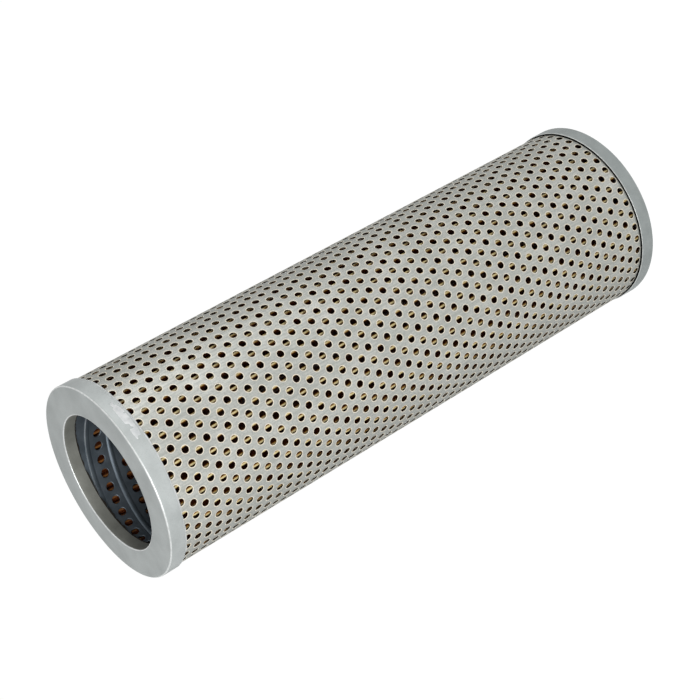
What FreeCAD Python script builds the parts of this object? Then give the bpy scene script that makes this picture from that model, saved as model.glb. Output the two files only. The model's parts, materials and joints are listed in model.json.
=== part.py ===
import FreeCAD, Part
import Sketcher
import math
import os

# Hydraulic filter element: a pleated paper cartridge between two pressed steel end caps.
#
# The element stands on its lower cap. +Z is its axis, and the origin is the centre of the
# lower cap's face. From outside to inside it holds a perforated sheet steel tube, a ring of
# pleated paper closed by a folded steel clip, and a perforated core tube. Adhesive in the
# channel of each cap bonds all three. All sizes are millimetres.
#
# Both tubes have more holes than a light model can carry. The holes have their real size and
# lie where the real pattern has them, but only some of its rows are cut. Each step below says
# how many rows on the next cut one is, and a step of 1 cuts them all.

V = FreeCAD.Vector
UP = V(0, 0, 1)
CENTRE = V(0, 0, 0)

doc = FreeCAD.newDocument("filter_element")

# Driving dimensions
SIZES = {
    # whole element
    "overall_length": 255,
    "cap_diameter": 80,
    # end caps, pressed from one sheet
    "cap_sheet": 0.5,
    "cap_rim_height": 6.8,
    "cap_edge_bevel": 0.4,
    "bore_diameter": 56,
    "bore_collar_height": 5.6,
    # adhesive in the channel of a cap
    "glue_depth": 1.6,
    # outer tube, rolled from perforated sheet with a lap seam
    "tube_clearance": 0.2,
    "tube_sheet": 0.5,
    "seam_groove": 0.3,
    "hole_size": 3.0,
    "hole_pitch": 5.5,
    "column_step": 3,
    "ring_step": 4,
    "hole_margin": 3.5,
    # core tube, wound from a perforated strip
    "core_clearance": 0.6,
    "core_sheet": 0.5,
    "core_strip": 29,
    "core_hole_size": 3.4,
    "core_hole_pitch": 5.7,
    "core_hole_step": 4,
    "core_hole_margin": 4,
    # pleated paper
    "pleat_count": 64,
    "paper": 0.5,
    "pleat_crest": 1.3,
    "pleat_outer_gap": 0.3,
    "pleat_inner_gap": 0.4,
    # clip over the two ends of the paper
    "clip_sheet": 0.4,
    "clip_depth": 5.5,
}

sheet = doc.addObject("Spreadsheet::Sheet", "sizes")
for row, (alias, size) in enumerate(SIZES.items(), start=1):
    sheet.set(f"A{row}", alias)
    sheet.set(f"B{row}", str(size))
    sheet.setAlias(f"B{row}", alias)
doc.recompute()


def number(formula):
    """The value of a formula of sheet cells, in millimetres."""
    return float(sheet.evalExpression(formula))


# Formulas that several pieces share, so that each seat follows the piece it fits
CAP_RADIUS = "sizes.cap_diameter / 2"
RIM_INSIDE = f"({CAP_RADIUS} - sizes.cap_sheet)"
BORE_RADIUS = "sizes.bore_diameter / 2"
COLLAR_OUTSIDE = f"({BORE_RADIUS} + sizes.cap_sheet)"
SEAT_HEIGHT = "(sizes.cap_sheet + sizes.glue_depth)"
FILTER_LENGTH = f"(sizes.overall_length - 2 * {SEAT_HEIGHT})"
TUBE_OUTSIDE = f"({RIM_INSIDE} - sizes.tube_clearance)"
TUBE_INSIDE = f"({TUBE_OUTSIDE} - sizes.tube_sheet)"
LAP_INSIDE = f"({TUBE_INSIDE} - sizes.tube_sheet)"
CORE_INSIDE = f"({COLLAR_OUTSIDE} + sizes.core_clearance)"
CORE_OUTSIDE = f"({CORE_INSIDE} + sizes.core_sheet)"
PLEAT_OUTSIDE = f"({LAP_INSIDE} - sizes.pleat_outer_gap)"
PLEAT_INSIDE = f"({CORE_OUTSIDE} + sizes.pleat_inner_gap)"

# The seams of the tube and of the paper face +Y
SEAM_ANGLE = 90
# A six-sided hole with the open area of a round one has its corners this much further out
HEXAGON_REACH = math.sqrt(2 * math.pi / (3 * math.sqrt(3)))
# Flats from one column of holes to the next
TUBE_FLATS = 2
CORE_FLATS = 5
# Sides of the hidden rings of adhesive
GLUE_SIDES = 36


def plane_of(body, role):
    """A base plane of a body, by its role."""
    return next(item for item in body.Origin.OriginFeatures if item.Role == role)


def outline(body, name, plane, corners):
    """A closed sketch on a base plane of the body. Each corner is a pair of formulas."""
    sketch = body.newObject("Sketcher::SketchObject", name)
    sketch.AttachmentSupport = [(plane_of(body, plane), "")]
    sketch.MapMode = "FlatFace"
    points = [V(number(across), number(along), 0) for across, along in corners]
    for start, end in zip(points, points[1:] + points[:1]):
        sketch.addGeometry(Part.LineSegment(start, end))
    for line in range(len(corners)):
        following = (line + 1) % len(corners)
        sketch.addConstraint(Sketcher.Constraint("Coincident", line, 2, following, 1))
    for line, (across, along) in enumerate(corners):
        for kind, formula in (("DistanceX", across), ("DistanceY", along)):
            index = sketch.addConstraint(Sketcher.Constraint(kind, -1, 1, line, 1, number(formula)))
            sketch.renameConstraint(index, f"{kind}{line}")
            sketch.setExpression(f"Constraints.{kind}{line}", formula)
    return sketch


def end_cap(name):
    """A ring pressed from sheet: a flat face with an outer rim and a bore collar turned up from it."""
    body = doc.addObject("PartDesign::Body", name)
    body.Label = name
    profile = outline(body, f"{name}_profile", "XZ_Plane", [
        (BORE_RADIUS, "0"),
        (f"{CAP_RADIUS} - sizes.cap_edge_bevel", "0"),
        (CAP_RADIUS, "sizes.cap_edge_bevel"),
        (CAP_RADIUS, "sizes.cap_rim_height"),
        (RIM_INSIDE, "sizes.cap_rim_height"),
        (RIM_INSIDE, "sizes.cap_sheet"),
        (COLLAR_OUTSIDE, "sizes.cap_sheet"),
        (COLLAR_OUTSIDE, "sizes.bore_collar_height"),
        (BORE_RADIUS, "sizes.bore_collar_height"),
    ])
    turn = body.newObject("PartDesign::Revolution", f"{name}_turn")
    turn.Profile = profile
    turn.ReferenceAxis = (profile, ["V_Axis"])
    turn.Angle = 360
    return body


def turn_over(body):
    """Set a cap at the upper end, upside down."""
    body.Placement = FreeCAD.Placement(CENTRE, FreeCAD.Rotation(V(1, 0, 0), 180))
    body.setExpression("Placement.Base.z", "sizes.overall_length")
    return body


def on_circle(radius, angle):
    """The point at a radius and an angle in degrees."""
    turn = math.radians(angle)
    return V(radius * math.cos(turn), radius * math.sin(turn), 0)


def polygon(corners):
    """A closed wire of straight sides."""
    return Part.makePolygon(corners + corners[:1])


def pushed_up(label, outer, inner, foot, length):
    """A wall between two closed wires, pushed up from its foot by a length. Both are formulas."""
    section = doc.addObject("Part::Feature", f"{label}_section")
    section.Shape = Part.Face(outer).cut(Part.Face(inner)).Faces[0]
    solid = doc.addObject("Part::Extrusion", label)
    solid.Base = section
    solid.DirMode = "Custom"
    solid.Dir = UP
    solid.Solid = True
    solid.setExpression("LengthFwd", length)
    solid.setExpression("Placement.Base.z", foot)
    return solid


def adhesive(label, foot):
    """The ring of adhesive that fills the channel of a cap, up to the ends of the tubes and the paper."""
    angles = [360 / GLUE_SIDES * side for side in range(GLUE_SIDES)]
    collar = number(COLLAR_OUTSIDE) / math.cos(math.pi / GLUE_SIDES)
    outer = polygon([on_circle(number(RIM_INSIDE), angle) for angle in angles])
    inner = polygon([on_circle(collar, angle) for angle in angles])
    return pushed_up(label, outer, inner, foot, "sizes.glue_depth")


def hole_prism(angle, height, size, inside, outside):
    """A tool that cuts one hole: a six-sided prism along the radius, with corners at its top and foot."""
    corners = [on_circle(size / 2 * HEXAGON_REACH, 60 * side) for side in range(6)]
    face = Part.Face(polygon([V(inside, corner.y, height + corner.x) for corner in corners]))
    prism = face.extrude(V(outside - inside, 0, 0))
    prism.rotate(CENTRE, UP, angle)
    return prism


def perforated(label, outer, inner, holes):
    """The wall of a tube that stands on the adhesive, with all its holes cut at once."""
    wall = pushed_up(f"{label}_wall", outer, inner, SEAT_HEIGHT, FILTER_LENGTH)
    tools = doc.addObject("Part::Feature", f"{label}_holes")
    tools.Shape = Part.makeCompound(holes)
    cut = doc.addObject("Part::Cut", label)
    cut.Base = wall
    cut.Tool = tools
    return cut


def outer_tube():
    """Perforated sheet rolled into a tube, whose two edges lap in one plain flat.

    The sheet bends in narrow flats, as perforated sheet does. Every second flat has a column of
    holes, and neighbouring columns have their holes on alternate rings.
    """
    outside, inside, lap = number(TUBE_OUTSIDE), number(TUBE_INSIDE), number(LAP_INSIDE)
    pitch = number("sizes.hole_pitch")
    columns = round(2 * math.pi * outside / (pitch * number("sizes.column_step")))
    flats = 2 * TUBE_FLATS * columns
    turn = 360 / flats
    bends = [SEAM_ANGLE + turn * (bend - 0.5) for bend in range(flats)]

    depth = number("sizes.seam_groove")
    half_groove = math.degrees(depth / outside)
    groove = [
        on_circle(outside, bends[0] - half_groove),
        on_circle(outside - depth, bends[0]),
        on_circle(outside, bends[0] + half_groove),
    ]
    outer = polygon(groove + [on_circle(outside, bend) for bend in bends[1:]])
    lapped = [on_circle(lap, bends[0]), on_circle(lap, bends[1])]
    inner = polygon(lapped + [on_circle(inside, bend) for bend in bends[1:] + bends[:1]])

    ring_gap = pitch * math.sqrt(3) / 2 * number("sizes.ring_step")
    low = number("sizes.cap_rim_height + sizes.hole_margin + sizes.hole_size / 2")
    high = number("sizes.overall_length") - low
    rings = 1 + math.floor((high - low) / ring_gap)
    first = (low + high - ring_gap * (rings - 1)) / 2
    holes = [
        hole_prism(
            SEAM_ANGLE + turn * (2 * TUBE_FLATS * column + (1 if ring % 2 else 1 + TUBE_FLATS)),
            first + ring_gap * ring,
            number("sizes.hole_size"), lap - pitch, outside + pitch,
        )
        for ring in range(rings)
        for column in range(columns)
    ]
    return perforated("outer_tube", outer, inner, holes)


def core_tube():
    """A tube wound from a perforated strip, so its holes climb it in a screw line."""
    outside, inside = number(CORE_OUTSIDE), number(CORE_INSIDE)
    pitch = number("sizes.core_hole_pitch")
    holes_in_turn = round(2 * math.pi * outside / (pitch * number("sizes.core_hole_step")))
    flats = CORE_FLATS * holes_in_turn
    turn = 360 / flats
    bends = [turn * (bend - 0.5) for bend in range(flats)]
    outer, inner = [polygon([on_circle(radius, bend) for bend in bends]) for radius in (outside, inside)]

    lead = number("sizes.core_strip")
    low = number("sizes.bore_collar_height + sizes.core_hole_margin + sizes.core_hole_size / 2")
    high = number("sizes.overall_length") - low
    count = 1 + math.floor((high - low) / lead * holes_in_turn)
    holes = [
        hole_prism(
            turn * CORE_FLATS * index,
            low + lead * index / holes_in_turn,
            number("sizes.core_hole_size"), inside - pitch, outside + pitch,
        )
        for index in range(count)
    ]
    return perforated("core_tube", outer, inner, holes)


def on_pleat(angle, radial, aside):
    """A corner of a pleat: so far out along the pleat's own radius, and so far to one side of it."""
    out = on_circle(1, angle)
    across = on_circle(1, angle + 90)
    return out * radial + across * aside


def pleated_paper():
    """One sheet of paper in pleats that stand on edge around the core tube.

    At the seam, the two ends of the sheet lie flat together and reach out into the clip.
    """
    outside, inside, paper = number(PLEAT_OUTSIDE), number(PLEAT_INSIDE), number("sizes.paper")
    half_crest = number("sizes.pleat_crest") / 2
    seam_root = outside - number("sizes.clip_depth") - paper
    seam_top = outside - number("sizes.clip_sheet")
    count = round(number("sizes.pleat_count"))
    turn = 360 / count

    outer, inner = [], []
    for pleat in range(count):
        crest = SEAM_ANGLE + turn * pleat
        if pleat == 0:
            ends = [(seam_root, -paper), (seam_top, -paper), (seam_top, paper), (seam_root, paper)]
            outer += [on_pleat(crest, radial, aside) for radial, aside in ends]
            inner.append(on_pleat(crest, seam_root, 0))
        else:
            outer += [on_pleat(crest, outside, side * half_crest) for side in (-1, 1)]
            inner += [on_pleat(crest, outside - paper, side * (half_crest - paper)) for side in (-1, 1)]
        fold = crest + turn / 2
        outer.append(on_pleat(fold, inside + paper, 0))
        inner += [on_pleat(fold, inside, side * paper) for side in (-1, 1)]
    return pushed_up("pleated_paper", polygon(outer), polygon(inner), SEAT_HEIGHT, FILTER_LENGTH)


def seam_clip():
    """A folded steel strip that grips the two ends of the paper along their whole height."""
    body = doc.addObject("PartDesign::Body", "seam_clip")
    body.Label = "seam_clip"
    grip = "sizes.paper"
    side = "(sizes.paper + sizes.clip_sheet)"
    foot = f"({PLEAT_OUTSIDE} - sizes.clip_depth)"
    crown = f"({PLEAT_OUTSIDE} - sizes.clip_sheet)"
    profile = outline(body, "seam_clip_profile", "XY_Plane", [
        (f"-{side}", foot),
        (f"-{grip}", foot),
        (f"-{grip}", crown),
        (grip, crown),
        (grip, foot),
        (side, foot),
        (side, PLEAT_OUTSIDE),
        (f"-{side}", PLEAT_OUTSIDE),
    ])
    pad = body.newObject("PartDesign::Pad", "seam_clip_pad")
    pad.Profile = profile
    pad.setExpression("Length", FILTER_LENGTH)
    body.Placement = FreeCAD.Placement(CENTRE, FreeCAD.Rotation(UP, SEAM_ANGLE - 90))
    body.setExpression("Placement.Base.z", SEAT_HEIGHT)
    return body


def check_document(pieces):
    """Stop if any object failed to build, or if a sub-part is not one sound solid."""
    for item in doc.Objects:
        if "Invalid" in item.State or "Error" in item.State:
            raise RuntimeError(f"{item.Label} failed: {item.State}")
    for piece in pieces:
        if piece.Shape.isNull() or not piece.Shape.isValid() or len(piece.Shape.Solids) != 1:
            raise RuntimeError(f"{piece.Label} is not one sound solid")


pieces = [
    end_cap("lower_end_cap"),
    turn_over(end_cap("upper_end_cap")),
    adhesive("lower_adhesive", "sizes.cap_sheet"),
    adhesive("upper_adhesive", f"sizes.overall_length - {SEAT_HEIGHT}"),
    outer_tube(),
    pleated_paper(),
    seam_clip(),
    core_tube(),
]
doc.recompute()
check_document(pieces)

os.makedirs("parts", exist_ok=True)
for piece in pieces:
    piece.Shape.exportStep(f"parts/{piece.Label}.step")
    print(piece.Label, "volume", round(piece.Shape.Volume, 1), "mm3")
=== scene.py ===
# %% [markdown]
# # A pleated hydraulic filter element
#
# A return-line filter is a cartridge: paper folded into a ring of pleats, held between a
# perforated outer tube and a wound core tube, and glued into a pressed steel cap at each end.
# The frame gives each piece its size and place. This lesson gives each its true surface:
# every hole, bend, bead and fold is worked out with numpy on a grid and put into a mesh.

# %% Load the frame
import json

import bmesh
import bpy
import numpy as np
from mathutils import Matrix, Vector


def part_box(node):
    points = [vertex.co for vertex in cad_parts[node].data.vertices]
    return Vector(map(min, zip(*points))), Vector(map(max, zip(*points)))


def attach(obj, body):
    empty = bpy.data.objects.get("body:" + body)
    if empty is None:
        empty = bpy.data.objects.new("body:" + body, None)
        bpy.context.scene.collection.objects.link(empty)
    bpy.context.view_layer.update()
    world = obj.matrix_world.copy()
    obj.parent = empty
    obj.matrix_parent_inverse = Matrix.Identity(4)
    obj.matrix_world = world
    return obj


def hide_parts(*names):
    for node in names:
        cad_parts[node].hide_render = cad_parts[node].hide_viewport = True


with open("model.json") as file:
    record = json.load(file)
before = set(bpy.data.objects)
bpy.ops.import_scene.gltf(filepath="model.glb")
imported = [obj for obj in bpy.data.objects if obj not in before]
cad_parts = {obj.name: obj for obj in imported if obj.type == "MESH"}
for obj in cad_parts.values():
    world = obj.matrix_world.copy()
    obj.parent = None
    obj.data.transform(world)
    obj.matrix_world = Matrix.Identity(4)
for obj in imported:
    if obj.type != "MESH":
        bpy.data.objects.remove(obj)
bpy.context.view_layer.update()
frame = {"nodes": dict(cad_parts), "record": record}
MM = 0.001
print("CAD pieces:", sorted(frame["nodes"]))

# %% [markdown]
# ## Sizes
#
# The caps, tubes and paper stand where the frame has them, so their outer sizes are read from
# it. What is finer than the frame, such as the lattice of holes, is written in millimetres.

# %% Read the sizes of the pieces
bore = next(mount for mount in frame["record"]["mounts"] if mount["name"] == "upper_bore")
BORE_RADIUS = bore["dims"]["r_mm"] * MM
COLLAR_HEIGHT = bore["dims"]["length_mm"] * MM
CAP_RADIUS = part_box("lower_end_cap")[1].x
RIM_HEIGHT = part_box("lower_end_cap")[1].z
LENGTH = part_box("upper_end_cap")[1].z
SEAT_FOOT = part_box("outer_tube")[0].z
SEAT_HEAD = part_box("outer_tube")[1].z
SHEET = 0.5 * MM
RIM_GAP = 0.2 * MM
CORE_GAP = 0.4 * MM
RIM_INSIDE = CAP_RADIUS - SHEET
TUBE_RADIUS = RIM_INSIDE - RIM_GAP
PAPER_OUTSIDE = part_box("seam_clip")[1].y
CORE_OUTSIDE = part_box("core_tube")[1].y
CORE_INSIDE = CORE_OUTSIDE - SHEET
PAPER_INSIDE = CORE_OUTSIDE + CORE_GAP
print("tube", TUBE_RADIUS, "paper", PAPER_OUTSIDE, PAPER_INSIDE, "core", CORE_OUTSIDE)

# %% [markdown]
# ## A mesh from blocks of points
#
# A surface is a grid of points, and its faces join neighbours in the grid. A piece has several
# such grids that share edges, so a small class collects them: it takes a block of points,
# gives back their numbers in the same layout, and turns a layout of numbers into faces.


# %% Collect points and faces
class Surface:
    """The points and faces of one piece."""

    def __init__(self):
        self.points = []
        self.faces = []
        self.shades = []
        self.count = 0

    def add(self, points):
        """Add an array of points and give their numbers in the same layout."""
        flat = points.reshape(-1, 3)
        numbers = self.count + np.arange(len(flat)).reshape(points.shape[:-1])
        self.points.append(flat)
        self.count += len(flat)
        return numbers

    def polygons(self, numbers, shade=0):
        """Add faces: each row of numbers is one face. A shade, or one for each, picks the material."""
        self.faces += numbers.reshape(-1, numbers.shape[-1]).tolist()
        self.shades += np.broadcast_to(shade, numbers.shape[:-1]).ravel().tolist()

    def grid(self, numbers, close_rows=False, close_columns=False, shade=0):
        """Add a quad between each four neighbours, which may close on itself either way."""
        if close_rows:
            numbers = np.concatenate([numbers, numbers[:1]], axis=0)
        if close_columns:
            numbers = np.concatenate([numbers, numbers[:, :1]], axis=1)
        corners = numbers[:-1, :-1], numbers[1:, :-1], numbers[1:, 1:], numbers[:-1, 1:]
        self.polygons(np.stack(corners, axis=-1), shade)

    def rings(self, first, second, shade=0):
        """Add a ring of quads round each hole, between its points in two loops."""
        sides = first, second, np.roll(second, -1, axis=1), np.roll(first, -1, axis=1)
        self.polygons(np.stack(sides, axis=-1), shade)


def polar(radius, angle, height):
    """Points at a radius and an angle in degrees round the axis, and at a height."""
    radius, angle, height = np.broadcast_arrays(radius, np.radians(angle), height)
    return np.stack([radius * np.cos(angle), radius * np.sin(angle), height], axis=-1)


# %% [markdown]
# ## From a surface to a piece
#
# Points that two grids share are merged, and the normals are recalculated on the closed mesh.
# A crease angle keeps sheared edges crisp while bends stay smooth. A wall is the thickness
# that an open surface gets, by an extrusion away from the axis. Each piece rides on the part's
# one body, takes the finishes it is given, and stands for its CAD node, which it hides.

# %% Make a piece
SAME_PLACE = 0.001 * MM


def piece(name, surface, materials, crease=35, wall=0.0):
    """A mesh object that stands for a CAD node. A wall adds its own length to each radius."""
    mesh = bpy.data.meshes.new(name)
    mesh.from_pydata(np.concatenate(surface.points).tolist(), [], surface.faces)
    mesh.polygons.foreach_set("material_index", surface.shades)
    shape = bmesh.new()
    shape.from_mesh(mesh)
    bmesh.ops.remove_doubles(shape, verts=shape.verts, dist=SAME_PLACE)
    if wall:
        shape.to_mesh(mesh)
        shape.clear()
        shape.from_mesh(mesh)
        kept = len(shape.verts)  # the extruded points come after these
        bmesh.ops.extrude_face_region(shape, geom=shape.faces[:])
        shape.to_mesh(mesh)
        place = np.empty(3 * len(mesh.vertices))
        mesh.vertices.foreach_get("co", place)
        place = place.reshape(-1, 3)
        radius = np.linalg.norm(place[kept:, :2], axis=1, keepdims=True)
        place[kept:, :2] *= (radius + wall) / radius
        mesh.vertices.foreach_set("co", place.ravel())
        shape.clear()
        shape.from_mesh(mesh)
    bmesh.ops.recalc_face_normals(shape, faces=shape.faces)
    shape.to_mesh(mesh)
    open_edges = sum(edge.is_boundary for edge in shape.edges)
    volume = shape.calc_volume(signed=True) / MM**3
    shape.free()
    for material in materials:
        mesh.materials.append(material)
    mesh.shade_smooth()
    mesh.set_sharp_from_angle(angle=np.radians(crease))
    made = bpy.data.objects.new(f"{name}_skin", mesh)
    bpy.context.scene.collection.objects.link(made)
    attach(made, "root")
    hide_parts(name)
    mesh.calc_loop_triangles()
    print(name, len(mesh.loop_triangles), "triangles,", open_edges, "open edges,",
          round(volume), "cubic mm")


# %% [markdown]
# ## Colours and nodes
#
# A colour is written as the hex code that a picture editor shows, which is sRGB. Blender's
# sockets want linear values, so one function converts them. One more function adds any shader
# node, sets its properties and fills its sockets with values or with links.


# %% Convert a colour and add a node
def colour(code):
    """The linear RGBA of a hex code such as #A0A0A0."""
    srgb = np.array([int(code[i:i + 2], 16) for i in (1, 3, 5)]) / 255
    linear = np.where(srgb <= 0.04045, srgb / 12.92, ((srgb + 0.055) / 1.055) ** 2.4)
    return (*linear.tolist(), 1.0)


def node(tree, kind, sockets=None, **settings):
    """Add a node. A socket gets a value, or the output that feeds it."""
    made = tree.nodes.new(kind)
    for name, value in settings.items():
        setattr(made, name, value)
    for name, value in (sockets or {}).items():
        if isinstance(value, bpy.types.NodeSocket):
            tree.links.new(value, made.inputs[name])
        else:
            made.inputs[name].default_value = value
    return made


# A Mix node of colours has its factor, colours and result at these places
MIX_FACTOR, MIX_A, MIX_B, MIX_RESULT = 0, 6, 7, 2


def new_material(name):
    """An empty material and its tree."""
    material = bpy.data.materials.new(name)
    material.use_nodes = True
    material.node_tree.nodes.clear()
    return material, material.node_tree


def shown_by(shader, material):
    """The material, with this shader as its surface."""
    node(material.node_tree, "ShaderNodeOutputMaterial", {"Surface": shader.outputs[0]})
    return material


# %% [markdown]
# ## Patterns at a real size
#
# A noise texture on Object coordinates has about one feature in each unit of its scale, so a
# feature of some millimetres needs a scale of one over that length in metres. Stretching the
# coordinates turns grain into streaks. A finish is then built like paint, one colour laid over
# another where a pattern is strong. The pattern may also be a distance, such as the height.


# %% Grain, layers of colour and distances
def grain(tree, size, stretch=(1, 1, 1), detail=2.0):
    """Noise whose features are about this many millimetres wide, longer along a stretched axis."""
    place = node(tree, "ShaderNodeTexCoord")
    squeeze = node(tree, "ShaderNodeMapping", {
        "Vector": place.outputs["Object"],
        "Scale": [1 / length for length in stretch],
    })
    noise = node(tree, "ShaderNodeTexNoise", {
        "Vector": squeeze.outputs["Vector"],
        "Scale": 1 / (size * MM),
        "Detail": detail,
    })
    return noise.outputs["Fac"]


# Noise keeps mostly between these two values
NOISE_LOW, NOISE_HIGH = 0.3, 0.7
ACROSS_NOISE = {"From Min": NOISE_LOW, "From Max": NOISE_HIGH}


def laid_over(tree, below, above, pattern, start=NOISE_LOW, end=NOISE_HIGH, most=1.0):
    """A colour laid over another: none where the pattern is at start, and most where it is at end.

    A colour is a hex code, or the output of a layer below.
    """
    share = node(tree, "ShaderNodeMapRange", {
        "Value": pattern, "From Min": start, "From Max": end, "To Max": most,
    })
    mixed = node(tree, "ShaderNodeMix", {
        MIX_FACTOR: share.outputs["Result"],
        MIX_A: colour(below) if isinstance(below, str) else below,
        MIX_B: colour(above),
    }, data_type="RGBA")
    return mixed.outputs[MIX_RESULT]


def axis_distance(tree):
    """How far a point is from the element's axis, in metres."""
    place = node(tree, "ShaderNodeTexCoord")
    flat = node(tree, "ShaderNodeVectorMath", {0: place.outputs["Object"], 1: (1, 1, 0)},
                operation="MULTIPLY")
    return node(tree, "ShaderNodeVectorMath", {0: flat.outputs["Vector"]},
                operation="LENGTH").outputs["Value"]


def height_up(tree):
    """How far up the element a point is, in metres."""
    place = node(tree, "ShaderNodeTexCoord")
    return node(tree, "ShaderNodeSeparateXYZ", {0: place.outputs["Object"]}).outputs["Z"]


# %% [markdown]
# ## Zinc-plated steel for the caps
#
# The caps are pressed from cold-rolled steel and then electroplated with zinc. The plating is
# a satin light grey with faint clouds, and its crystals scatter light, so it reads as half
# metal, half paint. Its specular tint is grey, so that it doesn't flare where it is seen nearly
# edge-on. One function makes three tones of it: the plain one for the upper cap, a darker copy
# as painted shade for the lower cap, and a darker, warmer copy as painted shade for the collar
# inside the bore. The bends get a painted highlight, a lighter and smoother zinc, and a few
# small dull marks lie elsewhere.


# %% The zinc-plated finishes
def zinc_plated_steel(name, dark, light, marks):
    """Satin plated sheet: cloudy tone, fine grain and a few dull marks."""
    material, tree = new_material(name)
    clouds = grain(tree, 9, detail=4)
    specks = grain(tree, 0.5, detail=3)
    tone = laid_over(tree, dark, light, clouds)
    tone = laid_over(tree, tone, marks, specks, start=0.5, end=0.8, most=0.35)
    sheen = node(tree, "ShaderNodeMapRange", {
        "Value": clouds, **ACROSS_NOISE, "To Min": 0.46, "To Max": 0.56,
    })
    waviness = node(tree, "ShaderNodeBump", {"Height": clouds, "Distance": 0.12 * MM})
    crystals = node(tree, "ShaderNodeBump", {
        "Height": specks, "Distance": 0.02 * MM, "Normal": waviness.outputs["Normal"],
    })
    shader = node(tree, "ShaderNodeBsdfPrincipled", {
        "Base Color": tone,
        "Metallic": 0.45,
        "Specular Tint": colour("#C0C0C0"),
        "Roughness": sheen.outputs["Result"],
        "Normal": crystals.outputs["Normal"],
    })
    return shown_by(shader, material)


def highlight_zinc():
    """A painted highlight for the bends: zinc that is lighter and smoother."""
    material, tree = new_material("highlight_zinc")
    highlight_mottle = grain(tree, 1.5, detail=3)
    sheen = node(tree, "ShaderNodeMapRange", {
        "Value": highlight_mottle, **ACROSS_NOISE, "To Min": 0.3, "To Max": 0.42,
    })
    shader = node(tree, "ShaderNodeBsdfPrincipled", {
        # Painted highlight: a lighter zinc on the bends and the rim's edge
        "Base Color": laid_over(tree, "#CCCFCE", "#E8EBEA", highlight_mottle),
        "Metallic": 0.5,
        "Roughness": sheen.outputs["Result"],
    })
    return shown_by(shader, material)


UPPER_CAP_ZINC = zinc_plated_steel("upper_zinc_plate", "#AEB3B2", "#C0C5C4", "#999F9F")
# The lower cap's plating is a darker copy of the upper cap's: painted shade
SHADED_LOWER_CAP_ZINC = zinc_plated_steel("shaded_lower_zinc_plate", "#949A99", "#A6ACAB", "#838989")
# The collar inside the bore gets a darker, warmer copy of the plating: painted shade
SHADED_COLLAR_ZINC = zinc_plated_steel("shaded_collar_zinc", "#8C8D86", "#A0A19A", "#777871")
HIGHLIGHT_ZINC = highlight_zinc()

# %% [markdown]
# ## Galvanised perforated sheet for the outer tube
#
# Stock perforated sheet is galvanised, punched and rolled up. It is a warmer, lighter grey than
# the caps, with streaks from rolling that run up the tube and a fine spangle. The punch draws
# the edge of each hole in a little; that edge is a thin cream ring, a painted highlight. The
# wall below is torn bare steel, rough and a little brown, and painted near black as the shade
# inside the hole. Where the sheet enters the lower cap, its foot is painted black as the
# shadow of the gap, up to a hair's breadth above the rim, so it shows there as a thin line. A
# dark specular tint keeps the tube's outlines as grey as its middle.

# %% The perforated sheet's finishes
# Painted shadow at the tube's foot, inside the lower cap's rim: full below the first height, none above
# the second
FOOT_SHADOW_FULL = RIM_HEIGHT + 0.15 * MM
FOOT_SHADOW_START = RIM_HEIGHT + 0.3 * MM


def galvanised_sheet():
    """Pale satin sheet with rolling streaks, a fine spangle and a painted shadow line at its foot."""
    material, tree = new_material("galvanised_sheet")
    streaks = grain(tree, 0.7, stretch=(1, 1, 18), detail=3)
    clouds = grain(tree, 14, detail=3)
    spangle = grain(tree, 0.7)
    tone = laid_over(tree, "#B7B9B3", "#C6C7C1", clouds)
    tone = laid_over(tree, tone, "#9FA29B", streaks, start=0.4, end=0.7, most=0.6)
    tone = laid_over(tree, tone, "#9DA19F", spangle, start=0.48, end=0.75, most=0.7)
    # Painted shadow: the foot turns near black where it stands in the gap inside the rim
    tone = laid_over(tree, tone, "#0E0F0E", height_up(tree), start=FOOT_SHADOW_START, end=FOOT_SHADOW_FULL)
    sheen = node(tree, "ShaderNodeMapRange", {
        "Value": streaks, **ACROSS_NOISE, "To Min": 0.4, "To Max": 0.5,
    })
    rolling = node(tree, "ShaderNodeBump", {"Height": streaks, "Distance": 0.01 * MM})
    shader = node(tree, "ShaderNodeBsdfPrincipled", {
        "Base Color": tone,
        "Metallic": 0.5,
        "Specular Tint": colour("#4C4C4C"),
        "Roughness": sheen.outputs["Result"],
        "Normal": rolling.outputs["Normal"],
    })
    return shown_by(shader, material)


def drawn_edge_highlight():
    """The zinc drawn over the edge of a hole: a soft cream ring, painted as a highlight."""
    material, tree = new_material("drawn_edge_highlight")
    shader = node(tree, "ShaderNodeBsdfPrincipled", {
        # Painted highlight: a cream ring brighter than the sheet round each hole
        "Base Color": laid_over(tree, "#E3DAC6", "#F6EEDD", grain(tree, 0.4), start=0, end=1),
        "Metallic": 0.25,
        "Roughness": 0.55,
    })
    return shown_by(shader, material)


def torn_steel_and_shade():
    """The bare wall of a punched hole: rough and a little brown, and near black as painted shade."""
    material, tree = new_material("torn_steel_and_shade")
    tears = grain(tree, 0.2, stretch=(1, 1, 0.5), detail=3)
    roughened = node(tree, "ShaderNodeBump", {"Height": tears, "Distance": 0.03 * MM})
    shader = node(tree, "ShaderNodeBsdfPrincipled", {
        # The bare steel's own brown, darkened near black as painted shade in the holes and at the
        # collar's end
        "Base Color": laid_over(tree, "#14110D", "#332D26", tears, start=0, end=1),
        "Metallic": 0.2,
        "Roughness": 0.75,
        "Normal": roughened.outputs["Normal"],
    })
    return shown_by(shader, material)


TUBE_STEEL = galvanised_sheet()
DRAWN_EDGE_HIGHLIGHT = drawn_edge_highlight()
TORN_STEEL_AND_SHADE = torn_steel_and_shade()

# %% [markdown]
# ## Bare strip for the core
#
# The core is wound from bright cold-rolled strip, with a thin film of oil and no plating. It
# is bluer than the tube, with soft clouds, and its tone is darkened as painted shade for the
# inside of the bore. Where one turn locks over the next, the sheared edge of the strip is a
# thin pale line, a painted highlight.


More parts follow.
